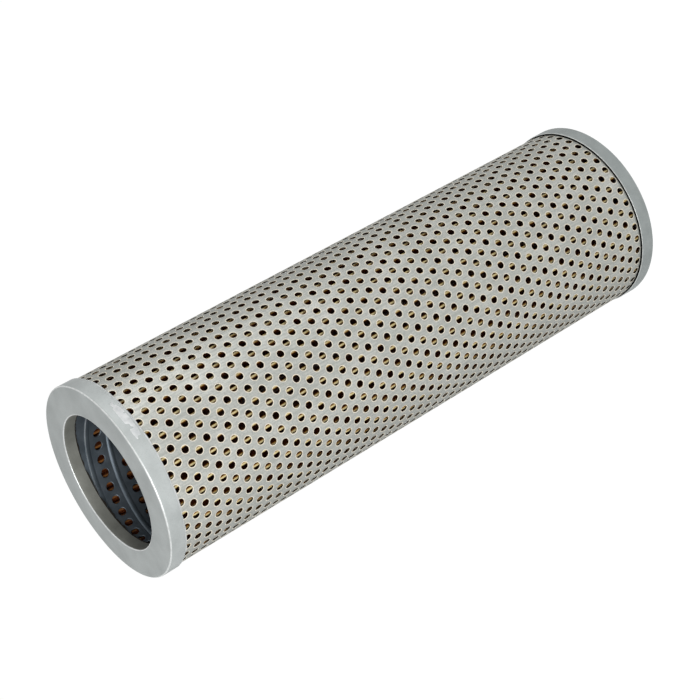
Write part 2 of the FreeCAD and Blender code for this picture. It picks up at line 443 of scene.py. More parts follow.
# %% The core's finishes
def cold_rolled_strip(name, dark, light):
    """Oiled cold-rolled steel, bluish grey and cloudy."""
    material, tree = new_material(name)
    clouds = grain(tree, 6, detail=4)
    sheen = node(tree, "ShaderNodeMapRange", {
        "Value": clouds, **ACROSS_NOISE, "To Min": 0.44, "To Max": 0.54,
    })
    fine = node(tree, "ShaderNodeBump", {"Height": grain(tree, 0.5), "Distance": 0.01 * MM})
    shader = node(tree, "ShaderNodeBsdfPrincipled", {
        "Base Color": laid_over(tree, dark, light, clouds),
        "Metallic": 0.7,
        "Roughness": sheen.outputs["Result"],
        "Normal": fine.outputs["Normal"],
    })
    return shown_by(shader, material)


# The strip's own bluish grey, darkened as painted shade for the inside of the bore
CORE_STEEL_IN_SHADE = cold_rolled_strip("cold_rolled_strip", "#5A646C", "#6C757D")
# Painted highlight: a much lighter strip for the face of the seam's step
CORE_EDGE_HIGHLIGHT = cold_rolled_strip("seam_edge_highlight", "#B4BBBF", "#CFD4D6")

# %% [markdown]
# ## Resin-soaked filter paper
#
# Filter paper is cellulose soaked in phenolic resin and cured, which turns it golden brown.
# The ridge of each crest is painted pale as a highlight. Its sides are golden, and darken
# within 0.6 mm to the deep brown of the leaves, a painted shade for the depth between the
# pleats. The inner folds are a lighter brown. The distance from the axis tells them apart.
# The cured resin stands on the fibres like a varnish, which the coat gives.

# %% The paper's finish
# How far below the top of a crest the painted shade and highlight are full or end, and how far above
# the foot of a root
LEAF_SHADE_DEPTH, SHADE_FREE_DEPTH = 0.6 * MM, 0.2 * MM
HIGHLIGHT_FREE_DEPTH, HIGHLIGHT_FULL_DEPTH = 0.16 * MM, 0.05 * MM
ROOT_DULL, ROOT_DEEP = 0.05 * MM, 0.35 * MM


def resin_paper():
    """Painted highlight on the outer ridges, painted shade down the leaves, dull brown inside."""
    material, tree = new_material("resin_paper")
    radius = axis_distance(tree)
    fibres = grain(tree, 0.35, stretch=(1, 1, 3), detail=3)
    # Painted shade: deep brown down the leaves, golden only near the top of a crest
    tone = laid_over(tree, "#5A2911", "#C8913C", radius,
                     start=PAPER_OUTSIDE - LEAF_SHADE_DEPTH, end=PAPER_OUTSIDE - SHADE_FREE_DEPTH)
    tone = laid_over(tree, tone, "#8E5C2B", radius,
                     start=PAPER_INSIDE + ROOT_DEEP, end=PAPER_INSIDE + ROOT_DULL)
    tone = laid_over(tree, tone, "#6E441C", fibres, most=0.25)
    # Painted highlight: pale gold along the top of each crest
    tone = laid_over(tree, tone, "#FFEDB0", radius,
                     start=PAPER_OUTSIDE - HIGHLIGHT_FREE_DEPTH, end=PAPER_OUTSIDE - HIGHLIGHT_FULL_DEPTH)
    sheen = node(tree, "ShaderNodeMapRange", {
        "Value": fibres, **ACROSS_NOISE, "To Min": 0.24, "To Max": 0.34,
    })
    felt = node(tree, "ShaderNodeBump", {"Height": fibres, "Distance": 0.03 * MM})
    shader = node(tree, "ShaderNodeBsdfPrincipled", {
        "Base Color": tone,
        "Roughness": sheen.outputs["Result"],
        "Specular IOR Level": 0.9,
        "Coat Weight": 0.6,
        "Coat Roughness": 0.2,
        "Normal": felt.outputs["Normal"],
    })
    return shown_by(shader, material)


PAPER = resin_paper()

# %% [markdown]
# ## Adhesive and the clip
#
# The adhesive is a pale plastisol, poured into the cap and cured, so it is smooth with a soft
# sheen and slightly lumpy. The clip is tinned steel strip, bright and plain.


# %% The adhesive's and the clip's finishes
def plastisol():
    """A pale grey cured adhesive, a little lumpy."""
    material, tree = new_material("plastisol")
    lumps = grain(tree, 2.5, detail=3)
    lumpy = node(tree, "ShaderNodeBump", {"Height": lumps, "Distance": 0.15 * MM})
    shader = node(tree, "ShaderNodeBsdfPrincipled", {
        "Base Color": laid_over(tree, "#C8CCCD", "#EAECEC", lumps),
        "Roughness": 0.45,
        "Normal": lumpy.outputs["Normal"],
    })
    return shown_by(shader, material)


def tinned_strip():
    """Bright tinned steel strip, with streaks along it."""
    material, tree = new_material("tinned_strip")
    streaks = grain(tree, 0.6, stretch=(1, 1, 20))
    sheen = node(tree, "ShaderNodeMapRange", {
        "Value": streaks, **ACROSS_NOISE, "To Min": 0.28, "To Max": 0.4,
    })
    shader = node(tree, "ShaderNodeBsdfPrincipled", {
        "Base Color": laid_over(tree, "#B9BCBC", "#CFD1CE", streaks, start=0, end=1),
        "Metallic": 0.9,
        "Roughness": sheen.outputs["Result"],
    })
    return shown_by(shader, material)


PLASTISOL = plastisol()
CLIP_STEEL = tinned_strip()
print("finishes:", sorted(material.name for material in bpy.data.materials))

# %% [markdown]
# ## The end caps
#
# A cap is a ring of sheet with its outer edge and its bore edge turned up by a press. Both
# bends are round, because sheet can't be folded sharp. The profile is an outline of corners,
# each with its own rounding, and it is carried round the axis. The collar ends where its hole
# was pierced before the draw, so the last half millimetre is ragged, bare and torn, and it is
# painted near black as the shadow in the gap before the core.


# %% Round the corners of an outline
def rounded(corners, steps=5):
    """A closed outline whose corners become arcs.

    A corner is (across, up, rounding). Its arc touches both sides: the centre lies on the
    bisector, and the points turn evenly from one touching point to the other.
    """
    corners = np.array(corners) * MM
    place, rounding = corners[:, :2], corners[:, 2:]
    before = np.roll(place, 1, axis=0) - place
    after = np.roll(place, -1, axis=0) - place
    before /= np.linalg.norm(before, axis=1, keepdims=True)
    after /= np.linalg.norm(after, axis=1, keepdims=True)
    half = np.arccos(np.clip((before * after).sum(1, keepdims=True), -1, 1)) / 2
    bisector = before + after
    bisector /= np.linalg.norm(bisector, axis=1, keepdims=True)
    centre = place + bisector * rounding / np.sin(half)
    start = place + before * rounding / np.tan(half) - centre
    end = place + after * rounding / np.tan(half) - centre
    sweep = (np.pi - 2 * half)[:, None]
    share = np.linspace(0, 1, steps)[None, :, None]
    arcs = np.sin((1 - share) * sweep) * start[:, None] + np.sin(share * sweep) * end[:, None]
    return (centre[:, None] + arcs / np.sin(sweep)).reshape(-1, 2)


def divided(outline, longest):
    """The outline with its long sides divided, so that no step is over this many millimetres."""
    following = np.roll(outline, -1, axis=0)
    parts = np.ceil(np.linalg.norm(following - outline, axis=1) / (longest * MM)).astype(int)
    share = np.concatenate([np.arange(n) / n for n in np.maximum(parts, 1)])[:, None]
    index = np.repeat(np.arange(len(outline)), np.maximum(parts, 1))
    return outline[index] * (1 - share) + following[index] * share


def waves(points, length, seed, count=14):
    """Unevenness, mostly from -1 to 1: twice the mean of sine waves in random directions."""
    chance = np.random.default_rng(seed)
    direction = chance.normal(size=(count, 3))
    direction *= 2 * np.pi / (length * MM) / np.linalg.norm(direction, axis=1, keepdims=True)
    phase = chance.uniform(0, 2 * np.pi, count)
    return np.sin(points @ direction.T + phase).mean(axis=-1) * 2


# %% Draw the cap's outline
# Lengths without MM are in millimetres
CAP_TURNS = 288
LIP, LIP_DEPTH = 0.4, 0.8
TORN_BAND = 0.5
TORN_FLARE = 0.04
OUTER_BEND = 0.75
BORE_BEND = 0.4
SHEARED_EDGE = 0.12
mm = {name: value / MM for name, value in {
    "bore": BORE_RADIUS, "cap": CAP_RADIUS, "rim": RIM_HEIGHT, "collar": COLLAR_HEIGHT,
    "sheet": SHEET,
}.items()}
cap_outline = divided(rounded([
    (mm["bore"] + TORN_FLARE, mm["collar"], 0.1),
    (mm["bore"], mm["collar"] - TORN_BAND, 0.4),
    (mm["bore"], 0, BORE_BEND),
    (mm["cap"], 0, OUTER_BEND),
    (mm["cap"], mm["rim"], SHEARED_EDGE),
    (mm["cap"] - LIP, mm["rim"], SHEARED_EDGE),
    (mm["cap"] - mm["sheet"], mm["rim"] - LIP_DEPTH, 0.3),
    (mm["cap"] - mm["sheet"], mm["sheet"], 0.6),
    (mm["bore"] + mm["sheet"], mm["sheet"], 0.4),
    (mm["bore"] + mm["sheet"], mm["collar"], SHEARED_EDGE),
]), longest=1.6)
print(len(cap_outline), "points in a cap's outline")

# %% Choose a finish for each part of the outline
PLATED, HIGHLIGHTED, TORN_AND_SHADED, COLLAR_IN_SHADE = range(4)
OUTER_HIGHLIGHT = 0.6 * MM
BORE_HIGHLIGHT = 0.4 * MM
COLLAR_SKIN = 0.1 * MM
BARE_WIDE = 0.9 * SHEET
RIM_HIGHLIGHT_WIDE, RIM_HIGHLIGHT_DEEP = 0.3 * MM, 0.1 * MM
across, up = ((cap_outline + np.roll(cap_outline, -1, axis=0)) / 2).T
# Painted highlight on the outer bend, the bore bend and the rim's edge
on_outer_bend = (across > CAP_RADIUS - OUTER_HIGHLIGHT) & (up < OUTER_HIGHLIGHT)
on_bore_bend = (across < BORE_RADIUS + BORE_HIGHLIGHT) & (up < BORE_HIGHLIGHT)
# Painted shade on the collar's inner wall, inside the bore
on_collar = (across < BORE_RADIUS + COLLAR_SKIN) & (up > BORE_HIGHLIGHT)
# Painted shade on the collar's ragged end, near black like the gap before the core
pierced = (across < BORE_RADIUS + BARE_WIDE) & (up > COLLAR_HEIGHT - TORN_BAND * MM)
on_rim_edge = (across > CAP_RADIUS - RIM_HIGHLIGHT_WIDE) & (up > RIM_HEIGHT - RIM_HIGHLIGHT_DEEP)
highlighted_edges = on_outer_bend | on_bore_bend | on_rim_edge
CAP_SHADES = np.select([pierced, highlighted_edges, on_collar], [TORN_AND_SHADED, HIGHLIGHTED, COLLAR_IN_SHADE], PLATED)

# %% Turn the outline into the caps
DENT, DENT_LENGTH = 0.05 * MM, 22
FACE_DEPTH = 1.5 * MM
RAGGED, RAGGED_LENGTH = 0.6 * MM, 1.9
RAGGED_BAND = 0.2 * MM
COLLAR_WIDE = 1.1 * SHEET


def end_cap(node_name, upside_down, finish, seed):
    """Carry the outline round the axis. The pressing is uneven, and the pierced edge ragged.

    The dents are waves that only push inwards: along the axis near the face, and towards the
    axis from a millimetre above it. The end of the collar goes up and down by shorter waves.
    """
    angle = np.arange(CAP_TURNS)[:, None] * 360 / CAP_TURNS
    points = polar(cap_outline[:, 0], angle, cap_outline[:, 1])
    radius, height = np.broadcast_to(cap_outline[:, 0], points.shape[:2]), points[..., 2].copy()
    dent = DENT * (waves(points, DENT_LENGTH, seed) - 1) / 2
    inward = np.clip((height - FACE_DEPTH) / MM, 0, 1)
    points[..., :2] *= (1 + dent * inward / radius)[..., None]
    points[..., 2] -= dent * (1 - inward)
    collar_end = (radius < BORE_RADIUS + COLLAR_WIDE) & (height > COLLAR_HEIGHT - RAGGED_BAND)
    points[..., 2] += np.where(collar_end, RAGGED * waves(points, RAGGED_LENGTH, seed + 1), 0)
    if upside_down:
        points[..., 2] = LENGTH - points[..., 2]
    surface = Surface()
    surface.grid(surface.add(points), close_rows=True, close_columns=True, shade=CAP_SHADES)
    finishes = [finish, HIGHLIGHT_ZINC, TORN_STEEL_AND_SHADE, SHADED_COLLAR_ZINC]
    piece(node_name, surface, finishes, crease=50)


end_cap("lower_end_cap", False, SHADED_LOWER_CAP_ZINC, seed=3)
end_cap("upper_end_cap", True, UPPER_CAP_ZINC, seed=8)

# %% [markdown]
# ## The lattice of holes
#
# Stock sheet has its holes on a triangular lattice: each ring of holes is turned half a step
# from the last, and each hole has six neighbours at the same distance. So the sheet divides
# into six-sided cells with one hole each. A place on the lattice is a column and a ring,
# counted in half steps of a column, and both may be fractions.

# %% Place the lattice on the tube
# Half a column, the pattern's turn and its lean are in degrees
HALF_COLUMN = 4.0157
RING_GAP = 4.76 * MM
FIRST_RING = LENGTH - 7.92 * MM
PATTERN_TURN = -86.66
PATTERN_LEAN = -0.0523
RINGS = 51
SQUEEZE = 0.55 * MM
SQUEEZE_FROM, SQUEEZE_TO = 9 * MM, 5.5 * MM
FIRST_COLUMN, LAST_COLUMN = -42, 44
HOLE_RADIUS = 1.5 * MM
DRAWN_WIDE = 0.3 * MM
DRAWN_DEEP = 0.06 * MM
FLARE = 0.15 * MM
HOLE_SIDES = 12
FIRST_SIDE = 30


def on_tube(column, ring, radius):
    """The point of the sheet at a column and a ring. The pattern leans a little as it climbs.

    The foot is squeezed in, more and more from one height down to the other, to enter its cap.
    """
    angle = PATTERN_TURN - HALF_COLUMN * column + PATTERN_LEAN * ring
    height = FIRST_RING - RING_GAP * ring
    share = np.clip((SQUEEZE_FROM - height) / (SQUEEZE_FROM - SQUEEZE_TO), 0, 1)
    return polar(radius - SQUEEZE * share * share * (3 - 2 * share), angle, height)


def hole_loop(column, ring, hole_radius, radius):
    """The points round each hole: a circle on the unrolled sheet, from a cell's corner on."""
    turn = np.radians(360 / HOLE_SIDES * np.arange(HOLE_SIDES) + FIRST_SIDE)
    across = np.degrees(hole_radius * np.cos(turn) / TUBE_RADIUS) / HALF_COLUMN
    down = hole_radius * np.sin(turn) / RING_GAP
    return on_tube(column[:, None] + across, ring[:, None] + down, radius)


columns, rings = np.meshgrid(np.arange(FIRST_COLUMN, LAST_COLUMN + 1), np.arange(RINGS))
is_hole = (columns + rings) % 2 == 0
hole_column, hole_ring = columns[is_hole], rings[is_hole]
print(len(hole_column), "holes in the outer tube")

# %% [markdown]
# ## The outer tube
#
# The corners of a cell lie a third or two thirds of a ring from its hole, and three cells
# share each, so whole numbers name them: the column, and the ring in thirds. The sheet has an
# outer and an inner face, and each hole adds a drawn-in edge and a wall between them. A plain
# strip at the back closes the tube, where one edge of the sheet laps over the other.

# %% Name the corners of the cells
CORNER_COLUMN = np.array([1, 0, -1, -1, 0, 1])
CORNER_THIRD = np.array([1, 2, 1, -1, -2, -1])
CODE = 1000
cell_code = ((hole_column[:, None] + CORNER_COLUMN) * CODE + 3 * hole_ring[:, None] + CORNER_THIRD)
corner_code, cell_corner = np.unique(cell_code, return_inverse=True)
cell_corner = cell_corner.reshape(cell_code.shape)
corner_third = (corner_code + CODE // 2) % CODE - CODE // 2
corner_column = (corner_code - corner_third) // CODE
print(len(corner_code), "corners between the cells")


def corner_number(column, third):
    """The place in the list of the corner at a column and a third of a ring."""
    return np.searchsorted(corner_code, column * CODE + third)


# %% Find the edges of the punched field
row = np.arange(RINGS)
odd = row % 2
side_third = np.stack([3 * row - 1, 3 * row + 1], axis=1).ravel()
left_side = corner_number(np.repeat(LAST_COLUMN + 1 - odd, 2), side_third)
right_side = corner_number(np.repeat(FIRST_COLUMN - 1 + odd, 2), side_third)
edge_column = np.arange(FIRST_COLUMN - 1, LAST_COLUMN + 2)
peak = edge_column % 2 == 0
top_edge = corner_number(edge_column, np.where(peak, -2, -1))
bottom_edge = corner_number(edge_column, 3 * (RINGS - 1) + np.where(peak, 2, 1))
TOP_RING = (FIRST_RING - SEAT_HEAD) / RING_GAP
BOTTOM_RING = (FIRST_RING - SEAT_FOOT) / RING_GAP
NEXT_TURN = 360 / HALF_COLUMN
SEAM_COLUMN = (LAST_COLUMN + FIRST_COLUMN + NEXT_TURN) / 2
print("seam at column", SEAM_COLUMN)

# %% Build the perforated tube
tube = Surface()


def sheet_face(radius, seam):
    """One face of the sheet: the cells' corners, the plain seam strip and both ends.

    The seam is a list of (column from its middle, radius). Gives the numbers of the corners,
    and those of the two end loops.
    """
    corner = tube.add(on_tube(corner_column, corner_third / 3, radius))
    seam_column = SEAM_COLUMN + np.array([place for place, _ in seam])
    seam_radius = np.array([reach for _, reach in seam])
    strip = tube.add(on_tube(seam_column, side_third[:, None] / 3, seam_radius))
    rows = np.column_stack([corner[left_side], strip, corner[right_side]])
    tube.grid(rows)
    ends = []
    for edge, ring, seam_row in ((top_edge, TOP_RING, strip[0]), (bottom_edge, BOTTOM_RING, strip[-1])):
        place = np.concatenate([edge_column, seam_column])
        reach = np.concatenate([np.full(len(edge_column), radius), seam_radius])
        end = tube.add(on_tube(place, ring, reach))
        tube.grid(np.stack([np.concatenate([corner[edge], seam_row]), end]), close_columns=True)
        ends.append(end)
    return corner, ends


LAP_STEP = 0.35 * MM
LAP_EDGE = 0.06
LAP_HALF = 0.5
inner_radius = TUBE_RADIUS - SHEET
outer_seam = [(-LAP_EDGE, TUBE_RADIUS), (LAP_EDGE, TUBE_RADIUS - LAP_STEP)]
inner_seam = [(-LAP_HALF, inner_radius - SHEET), (LAP_HALF, inner_radius - SHEET)]
outer_corner, outer_ends = sheet_face(TUBE_RADIUS, outer_seam)
inner_corner, inner_ends = sheet_face(inner_radius, inner_seam)
for outer_end, inner_end in zip(outer_ends, inner_ends):
    tube.grid(np.stack([outer_end, inner_end]), close_columns=True)

drawn = tube.add(hole_loop(hole_column, hole_ring, HOLE_RADIUS + DRAWN_WIDE, TUBE_RADIUS))
mouth = tube.add(hole_loop(hole_column, hole_ring, HOLE_RADIUS, TUBE_RADIUS - DRAWN_DEEP))
foot = tube.add(hole_loop(hole_column, hole_ring, HOLE_RADIUS + FLARE, inner_radius))


def web(corner, loop):
    """Three triangles between each side of a cell and the hole's two sides that face it."""
    corner = corner[cell_corner]
    following = np.roll(corner, -1, axis=1)
    at, mid, to = loop[:, 0::2], loop[:, 1::2], np.roll(loop[:, 0::2], -1, axis=1)
    for triangle in ((corner, mid, at), (corner, following, mid), (following, to, mid)):
        tube.polygons(np.stack(triangle, axis=-1))


web(outer_corner, drawn)
web(inner_corner, foot)
tube.rings(drawn, mouth, shade=1)
tube.rings(mouth, foot, shade=2)
piece("outer_tube", tube, [TUBE_STEEL, DRAWN_EDGE_HIGHLIGHT, TORN_STEEL_AND_SHADE], crease=30)

# %% [markdown]
# ## The pleated paper
#
# The paper is one sheet folded 64 times. Seen from above its middle line is a round crest, a
# straight leaf, a round root and a leaf back, again and again. Half the paper's thickness to
# each side of that line gives its two faces.
#
# A pack of paper is never quite straight or even. This one bows to one side as it climbs, and
# its pleats crowd together on one side, which is why some holes of the tube show a golden
# crest and others the dark between two crests.

# %% Place the crests
# Angles are in degrees, and heights in millimetres. The pairs are for the foot and the head
PLEATS = 64
PLEAT_TURN = 360 / PLEATS
PACK_START = -84.2
BOW = 2.33e-4
BOW_FOOT = 40
CROWDING = np.array([5.9, 3.4])
CROWDED_SIDE = np.array([-80.3, -96.7])
LEAN = -1.7
FOOT, HEAD = 30, 230
SECTIONS = 24


def crest_angles(heights):
    """The angle of each crest in degrees: rows are heights, columns are pleats.

    To the even turn comes a bow, which grows with the square of the height above its foot,
    and a crowding, which is the cosine of the angle from the crowded side. The crowding is
    given at two heights, and goes evenly from one to the other.
    """
    height = heights[:, None] / MM
    climb = (height - FOOT) / (HEAD - FOOT)
    crowding = CROWDING[0] + (CROWDING[1] - CROWDING[0]) * climb
    side = CROWDED_SIDE[0] + (CROWDED_SIDE[1] - CROWDED_SIDE[0]) * climb
    bowed = PACK_START + PLEAT_TURN * np.arange(PLEATS) - BOW * (height - BOW_FOOT) ** 2
    return bowed + LEAN * climb - crowding * np.cos(np.radians(bowed - side))


heights = np.linspace(SEAT_FOOT, SEAT_HEAD, SECTIONS)
crest_angle = crest_angles(heights)
print("the widest pleat is", np.diff(crest_angle).max(), "degrees")

# %% Draw the middle line of the pleats
PAPER_THICK = 0.5 * MM
CREST_HALF = 0.4 * MM
SEAM_PLEAT = 31
SEAM_HALF = PAPER_THICK / 2 + 0.02 * MM
LEAF_POINTS = np.array([0.45, 0.9])
CLIP_SHEET = 0.4 * MM
ROOT_HALF = 0.45 * MM
ROOT_CENTRE = PAPER_INSIDE + PAPER_THICK / 2 + ROOT_HALF


def pleat_line():
    """The middle line as (across, out) from each pleat's own radius: rows are pleats.

    A crest is half a circle, and its leaves run straight from there to the roots.
    """
    half = np.full(PLEATS, CREST_HALF)
    top = np.full(PLEATS, PAPER_OUTSIDE - PAPER_THICK / 2)
    half[SEAM_PLEAT] = SEAM_HALF
    top[SEAM_PLEAT] -= CLIP_SHEET
    bend = np.radians(np.linspace(-90, 90, 9))
    half, top = half[:, None], top[:, None]
    crest = np.stack([half * np.sin(bend), top - half + half * np.cos(bend)], axis=-1)
    leaf_out = top - half - LEAF_POINTS * (top - half - ROOT_CENTRE)
    leaf_across = np.broadcast_to(half, leaf_out.shape)
    leaf = np.stack([leaf_across, leaf_out], axis=-1)
    back = np.stack([-leaf_across, leaf_out], axis=-1)
    return crest, leaf, np.roll(back, -1, axis=0)[:, ::-1]


def turned_by(offsets, angle):
    """Points (across, out) from a radius, turned to that radius's angle in degrees."""
    turn = np.radians(angle)[..., None]
    across, out = offsets[..., 0], offsets[..., 1]
    return np.stack([out * np.cos(turn) - across * np.sin(turn),
                     out * np.sin(turn) + across * np.cos(turn)], axis=-1)


crest, leaf, back = pleat_line()
bend = np.radians(np.linspace(-90, 90, 7))
root = np.stack([ROOT_HALF * np.sin(bend), ROOT_CENTRE - ROOT_HALF * np.cos(bend)], axis=-1)
root = np.broadcast_to(root, (PLEATS, *root.shape))
next_crest = np.concatenate([crest_angle[:, 1:], crest_angle[:, :1] + 360], axis=1)
middle_line = np.concatenate([
    turned_by(crest, crest_angle),
    turned_by(leaf, crest_angle),
    turned_by(root, (crest_angle + next_crest) / 2),
    turned_by(back, next_crest),
], axis=2).reshape(len(heights), -1, 2)
along = np.roll(middle_line, -1, axis=1) - np.roll(middle_line, 1, axis=1)
along /= np.linalg.norm(along, axis=2, keepdims=True)
sideways = np.stack([along[..., 1], -along[..., 0]], axis=-1)


# %% Raise the pleats
def raised(sections):
    """Sections of flat points, one for each height, set at those heights."""
    up = np.broadcast_to(heights[:, None, None], (*sections.shape[:2], 1))
    return np.concatenate([sections, up], axis=2)


outside = raised(middle_line + sideways * PAPER_THICK / 2)
inside = raised(middle_line - sideways * PAPER_THICK / 2)
paper = Surface()
paper.grid(paper.add(np.concatenate([outside, inside[::-1]])), close_rows=True, close_columns=True)
piece("pleated_paper", paper, [PAPER], crease=60)

# %% [markdown]
# ## The seam clip
#
# The sheet of paper has two ends, and a folded steel strip grips them along the whole height.
# It is a channel profile carried up along its own crest.

# %% Fold the clip
CLIP_DEPTH = 5.5
grip = PAPER_THICK / MM
side = grip + CLIP_SHEET / MM
crown = PAPER_OUTSIDE / MM
foot_of_clip = crown - CLIP_DEPTH
clip_outline = rounded([
    (-side, foot_of_clip, 0.15), (-grip, foot_of_clip, 0.15),
    (-grip, crown - CLIP_SHEET / MM, 0.1), (grip, crown - CLIP_SHEET / MM, 0.1),
    (grip, foot_of_clip, 0.15), (side, foot_of_clip, 0.15),
    (side, crown, 0.45), (-side, crown, 0.45),
], steps=4)
clip = Surface()
clip_numbers = clip.add(raised(turned_by(clip_outline, crest_angle[:, SEAM_PLEAT])))
clip.grid(clip_numbers, close_columns=True)
clip.polygons(clip_numbers[[0, -1]])
piece("seam_clip", clip, [CLIP_STEEL])

# %% [markdown]
# ## The wound core
#
# The core is wound from one long strip, whose edges lock together in a seam that climbs the
# tube like a screw thread, 29 mm in each turn. Across the strip there are three rows of holes
# with two stiffening beads between them. Unrolled, it is a plain grid: so many steps round,
# and so many millimetres up. One turn climbs exactly one strip, so the grid closes.

# %% Lay out the strip
STRIP = 29.0
STEPS_IN_TURN = 33
STEP = 360 / STEPS_IN_TURN
SEAM_AT_ZERO = 241.4
HOLE_PHASE = 6.3 / STEP
ROWS_OF_HOLES = STRIP / 6 * np.array([1, 3, 5])
BAND_HALF = 1.3
CELL_HALF = STRIP / 6 - BAND_HALF
CORE_HOLE = 1.7
LEVEL = 0.002 * MM


def on_core(step, up, rise=0.0):
    """The point of the strip at a step round and so far above its seam. A rise stands inwards."""
    height = SEAM_AT_ZERO + STRIP * step / STEPS_IN_TURN + up
    height = np.clip(height * MM, SEAT_FOOT, SEAT_HEAD)
    return polar(CORE_INSIDE - rise * MM, (step + HOLE_PHASE) * STEP, height)


# %% [markdown]
# A bead and a seam are bands along the strip. At the seam the edge of one turn is folded over
# the next: it rises to a flat ridge, ends in a sheared edge that carries a painted highlight,
# and has a narrow groove beside it. The strip is cut off level at both ends of the tube.

# %% Wind the core
turns_down = int(np.ceil(SEAM_AT_ZERO / STRIP)) + 1
step_number = np.arange(STEPS_IN_TURN)
strip_number = np.arange(-turns_down, 2)
core = Surface()
thirds = np.arange(3 * STEPS_IN_TURN + 1) / 3 - 0.5


def patches(points, shade=0):
    """Quads between neighbours in blocks of rows and columns of points.

    A face is left out where the strip is cut off, which leaves all its corners level. The
    shade is one for all, or one for each row.
    """
    numbers, height = [
        np.stack([of[:, :-1, :-1], of[:, 1:, :-1], of[:, 1:, 1:], of[:, :-1, 1:]], axis=-1)
        for of in (core.add(points), points[..., 2])
    ]
    kept = np.ptp(height, axis=-1) > LEVEL
    core.polygons(numbers[kept], np.broadcast_to(shade, kept.shape)[kept])


def ridge(middle, across, rise, shade=0):
    """A raised band along the strip: heights across it, and how far each stands inwards."""
    up = strip_number[:, None, None] * STRIP + middle + np.array(across)[None, :, None]
    patches(on_core(thirds[None, None, :], up, np.array(rise)[None, :, None]), shade)


bead_across = [-BAND_HALF, -1.15, -0.85, -0.45, 0.45, 0.85, 1.15, BAND_HALF]
bead_rise = [0, 0, 0.22, 0.42, 0.42, 0.22, 0, 0]
for middle in (STRIP / 3, STRIP * 2 / 3):
    ridge(middle, bead_across, bead_rise)
seam_across = [-BAND_HALF, -1.1, -0.8, -0.4, 0.5, 0.72, 0.88, 1.02, 1.2, BAND_HALF]
seam_rise = [0, 0, 0.22, 0.3, 0.42, 0.38, -0.22, -0.22, 0, 0]
# The face of the seam's step gets the painted highlight
seam_highlight_faces = np.array([0, 0, 0, 0, 0, 1, 0, 0, 0])[:, None]
ridge(0, seam_across, seam_rise, seam_highlight_faces)

# %% [markdown]
# Each hole sits in a cell with four corners. The cell's border and the hole both have twelve
# points, so a ring of quads joins them. A second ring turns the hole's edge a little outwards,
# as the punch leaves it. The wall of the piece then gives the strip its thickness.

# %% Punch the core
border = np.array([(1, 1), (1 / 3, 1), (-1 / 3, 1), (-1, 1), (-1, 1 / 3), (-1, -1 / 3),
                   (-1, -1), (-1 / 3, -1), (1 / 3, -1), (1, -1), (1, -1 / 3), (1, 1 / 3)])
turn = np.radians(45 + 30 * np.arange(12))
circle = np.stack([np.cos(turn), np.sin(turn)], axis=1)
step_length = 2 * np.pi * CORE_INSIDE / MM / STEPS_IN_TURN
middle_up = (strip_number[:, None] * STRIP + ROWS_OF_HOLES).ravel()
cell_step, cell_up = [grid.ravel()[:, None] for grid in np.meshgrid(step_number, middle_up)]
height = SEAM_AT_ZERO + STRIP * cell_step / STEPS_IN_TURN + cell_up
END_MARGIN = 3.0
TURNED_WIDE, TURNED_DEEP = 0.15, 0.12
clear_of_ends = (height > SEAT_FOOT / MM + END_MARGIN) & (height < SEAT_HEAD / MM - END_MARGIN)
punched = (clear_of_ends & (cell_up < 0)).ravel()


def loop_on_core(shape, half_step, half_up, rise, keep):
    """A loop of twelve points round each kept cell: its shape times half its size."""
    return core.add(on_core(cell_step[keep] + shape[:, 0] * half_step,
                            cell_up[keep] + shape[:, 1] * half_up, rise))


edge = loop_on_core(border, 0.5, CELL_HALF, 0, punched)
lip_radius = CORE_HOLE + TURNED_WIDE
lip = loop_on_core(circle, lip_radius / step_length, lip_radius, 0, punched)
mouth = loop_on_core(circle, CORE_HOLE / step_length, CORE_HOLE, -TURNED_DEEP, punched)
core.rings(edge, lip)
core.rings(lip, mouth)
share = np.linspace(-1, 1, 4)
patches(on_core(cell_step[~punched, :, None] + share * 0.5,
                cell_up[~punched, :, None] + share[:, None] * CELL_HALF))
print(int(punched.sum()), "holes in the core")
piece("core_tube", core, [CORE_STEEL_IN_SHADE, CORE_EDGE_HIGHLIGHT], crease=30, wall=SHEET)

# %% [markdown]
# ## The adhesive
#
# A layer of adhesive lies in the channel of each cap, and the tubes and the paper stand on it.
# At the upper cap some of it has crept up between the rim and the tube, where it ends in a
# thin uneven fillet, and a smear of it was wiped over the rim. The section is an outline turned
# round the axis, and only its free edge waves.

# %% Pour the adhesive
GLUE_TURNS = 360
PRESSED_IN = 0.01
FREE_EDGE, FREE_LENGTH = 0.3 * MM, 5


def adhesive(node_name, upside_down, creep, seed):
    """A flat ring in the channel. If it creeps, it also fills the gap inside the rim.

    It then ends in a fillet, so many millimetres up, whose slope goes from the rim to the tube.
    """
    rim, tube_side = RIM_INSIDE / MM - PRESSED_IN, TUBE_RADIUS / MM + PRESSED_IN
    collar, seat = mm["bore"] + mm["sheet"], SEAT_FOOT / MM
    outline = [(collar, mm["sheet"]), (rim, mm["sheet"])]
    if creep:
        outline += [(rim, creep), (rim + 0.2, creep + 0.15), (tube_side + 0.3, creep + 0.45),
                    (tube_side, creep + 0.8), (tube_side, seat)]
    else:
        outline += [(rim, seat)]
    outline = np.array(outline + [(collar, seat)]) * MM
    angle = np.arange(GLUE_TURNS)[:, None] * 360 / GLUE_TURNS
    points = polar(outline[:, 0], angle, outline[:, 1])
    free = points[..., 2] > (RIM_HEIGHT + 0.1 * MM if creep else LENGTH)
    points[..., 2] += np.where(free, FREE_EDGE * waves(points, FREE_LENGTH, seed), 0)
    if upside_down:
        points[..., 2] = LENGTH - points[..., 2]
    surface = Surface()
    surface.grid(surface.add(points), close_rows=True, close_columns=True)
    if creep:
        smear(surface)
    piece(node_name, surface, [PLASTISOL])


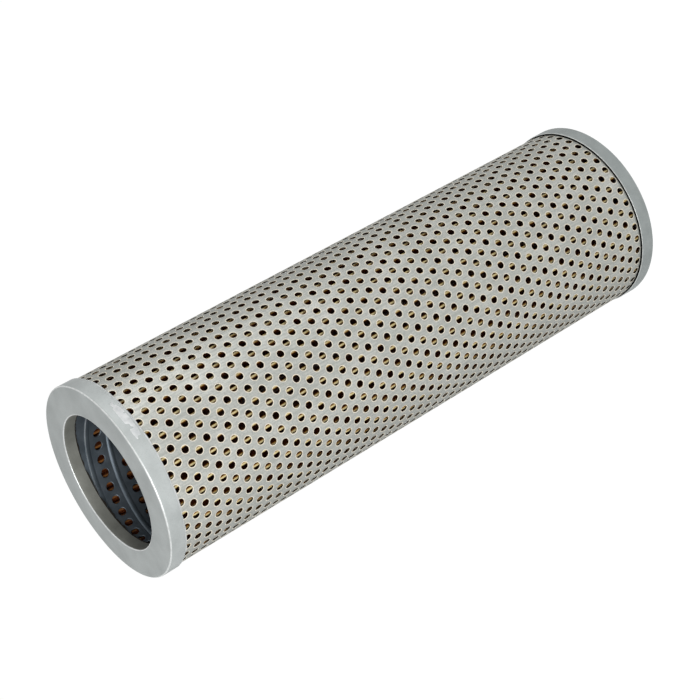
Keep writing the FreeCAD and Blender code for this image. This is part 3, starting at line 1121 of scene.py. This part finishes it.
# %% Smear some of it over the rim
SMEAR_MIDDLE, SMEAR_HALF = -67, 15
SMEAR_LOW, SMEAR_HIGH = LENGTH - 6.3 * MM, LENGTH - 3.0 * MM
SMEAR_GRID = 90, 18
SMEAR_THICK, SMEAR_THIN = 0.2, 0.005
BEDDED = 0.06 * MM
RIM_CORNER = 0.5 * MM
LUMP_LENGTH, SWELL_LENGTH = 1.7, 4.5


def smear(surface):
    """A thin film over the rim's edge: a lens in angle and height, times waves of two lengths.

    The film meets its underside, which is bedded in the steel, all round its border.
    """
    turn = np.linspace(-1, 1, SMEAR_GRID[0])[:, None]
    rise = np.linspace(-1, 1, SMEAR_GRID[1])
    angle = SMEAR_MIDDLE + SMEAR_HALF * turn
    height = (SMEAR_LOW + SMEAR_HIGH) / 2 + (SMEAR_HIGH - SMEAR_LOW) / 2 * rise
    on_rim = np.clip((height - (LENGTH - RIM_HEIGHT - RIM_CORNER)) / RIM_CORNER, 0, 1)
    under = TUBE_RADIUS + (CAP_RADIUS - TUBE_RADIUS) * on_rim - BEDDED
    base = polar(under, angle, height)
    lens = np.clip(1 - turn**2 - rise**4, 0, 1)
    lumps = 0.5 + 0.35 * waves(base, LUMP_LENGTH, 21) + 0.35 * waves(base, SWELL_LENGTH, 22)
    thick = SMEAR_THIN + SMEAR_THICK * lens * np.clip(lumps, 0, None)
    thick[[0, -1]] = 0
    thick[:, [0, -1]] = 0
    film = polar(under + thick * MM, angle, height)
    surface.grid(surface.add(film))
    surface.grid(surface.add(base))


adhesive("lower_adhesive", False, 0, seed=5)
adhesive("upper_adhesive", True, mm["rim"] - 0.1, seed=6)

# %% [markdown]
# ## Floor and light
#
# The picture has a plain white ground. The floor and the world look white to the camera and
# in reflections, while the light that reaches the object stays at a plain level. The floor
# still takes some of the light, so it keeps the object's soft shadow.

# %% Lay the floor
FLOOR_HALF = 4.0
FLOOR_GLOW = 1.06
GLOW_SHARE = 0.94


def seen_directly(tree):
    """One for rays from the camera, from gloss and through glass, and nought for the rest."""
    path = node(tree, "ShaderNodeLightPath")
    seen = path.outputs["Is Camera Ray"]
    for ray in ("Is Glossy Ray", "Is Transmission Ray"):
        seen = node(tree, "ShaderNodeMath", {0: seen, 1: path.outputs[ray]},
                    operation="MAXIMUM").outputs["Value"]
    return seen


def studio_floor():
    """A white floor, mostly even white to the camera, with some of its own shade."""
    material, tree = new_material("studio_floor")
    paint = node(tree, "ShaderNodeBsdfDiffuse", {"Color": colour("#F4F4F4")})
    glow = node(tree, "ShaderNodeEmission", {"Color": colour("#FFFFFF"), "Strength": FLOOR_GLOW})
    share = node(tree, "ShaderNodeMapRange", {"Value": seen_directly(tree), "To Max": GLOW_SHARE})
    mixed = node(tree, "ShaderNodeMixShader", {
        0: share.outputs["Result"], 1: paint.outputs["BSDF"], 2: glow.outputs["Emission"],
    })
    return shown_by(mixed, material)


floor_mesh = bpy.data.meshes.new("floor")
floor_corners = np.array([(-1, -1, 0), (1, -1, 0), (1, 1, 0), (-1, 1, 0)]) * FLOOR_HALF
floor_mesh.from_pydata(floor_corners.tolist(), [], [(0, 1, 2, 3)])
floor_mesh.materials.append(studio_floor())
floor = bpy.data.objects.new("floor", floor_mesh)
bpy.context.scene.collection.objects.link(floor)

# %% [markdown]
# ## Camera and lamps
#
# The camera's place, aim, roll and focal length were fitted to the perspective of a picture.
# A large soft lamp near it lights the cap and the side that it sees. Another, at the top of the
# picture, lights the upper side of the tube.

# %% Set the camera
CAMERA_PLACE = Vector((0, -609.5, 479.0)) * MM
CAMERA_AIM = Vector((-1.6, 0, 137.5)) * MM
CAMERA_ROLL = -119.59
FOCAL_LENGTH = 89.33
camera_data = bpy.data.cameras.new("camera")
camera_data.lens = FOCAL_LENGTH
camera_data.sensor_width = 36
camera_data.clip_start = 0.01
camera = bpy.data.objects.new("camera", camera_data)
bpy.context.scene.collection.objects.link(camera)
facing = (CAMERA_AIM - CAMERA_PLACE).to_track_quat("-Z", "Y").to_matrix()
picture = facing @ Matrix.Rotation(np.radians(CAMERA_ROLL), 3, "Z")
camera.rotation_euler = picture.to_euler()
camera.location = CAMERA_PLACE
bpy.context.scene.camera = camera
print("camera at", CAMERA_PLACE)

# %% Hang the lamps and light the world
WORLD_LIGHT = 0.265
MIDDLE = Vector((0, 0, LENGTH / 2))


def lamp(name, right, up, near, distance, width, watts):
    """A soft square lamp, placed as seen in the picture: to the right, up and towards the camera."""
    light = bpy.data.lights.new(name, "AREA")
    light.size = width
    light.energy = watts
    direction = (picture @ Vector((right, up, near))).normalized()
    placed = bpy.data.objects.new(name, light)
    placed.location = MIDDLE + direction * distance
    placed.rotation_euler = (-direction).to_track_quat("-Z", "Y").to_euler()
    bpy.context.scene.collection.objects.link(placed)


lamp("key", right=0.05, up=-0.43, near=0.88, distance=0.654, width=0.42, watts=2.66)
lamp("top", right=0, up=0.95, near=0.3, distance=0.5, width=0.5, watts=1.36)

world = bpy.data.worlds.new("world")
world.use_nodes = True
sky = world.node_tree
sky.nodes.clear()
strength = node(sky, "ShaderNodeMapRange", {"Value": seen_directly(sky), "To Min": WORLD_LIGHT})
background = node(sky, "ShaderNodeBackground", {
    "Color": colour("#FFFFFF"), "Strength": strength.outputs["Result"],
})
node(sky, "ShaderNodeOutputWorld", {"Surface": background.outputs["Background"]})
bpy.context.scene.world = world
bpy.context.scene.view_settings.view_transform = "Standard"
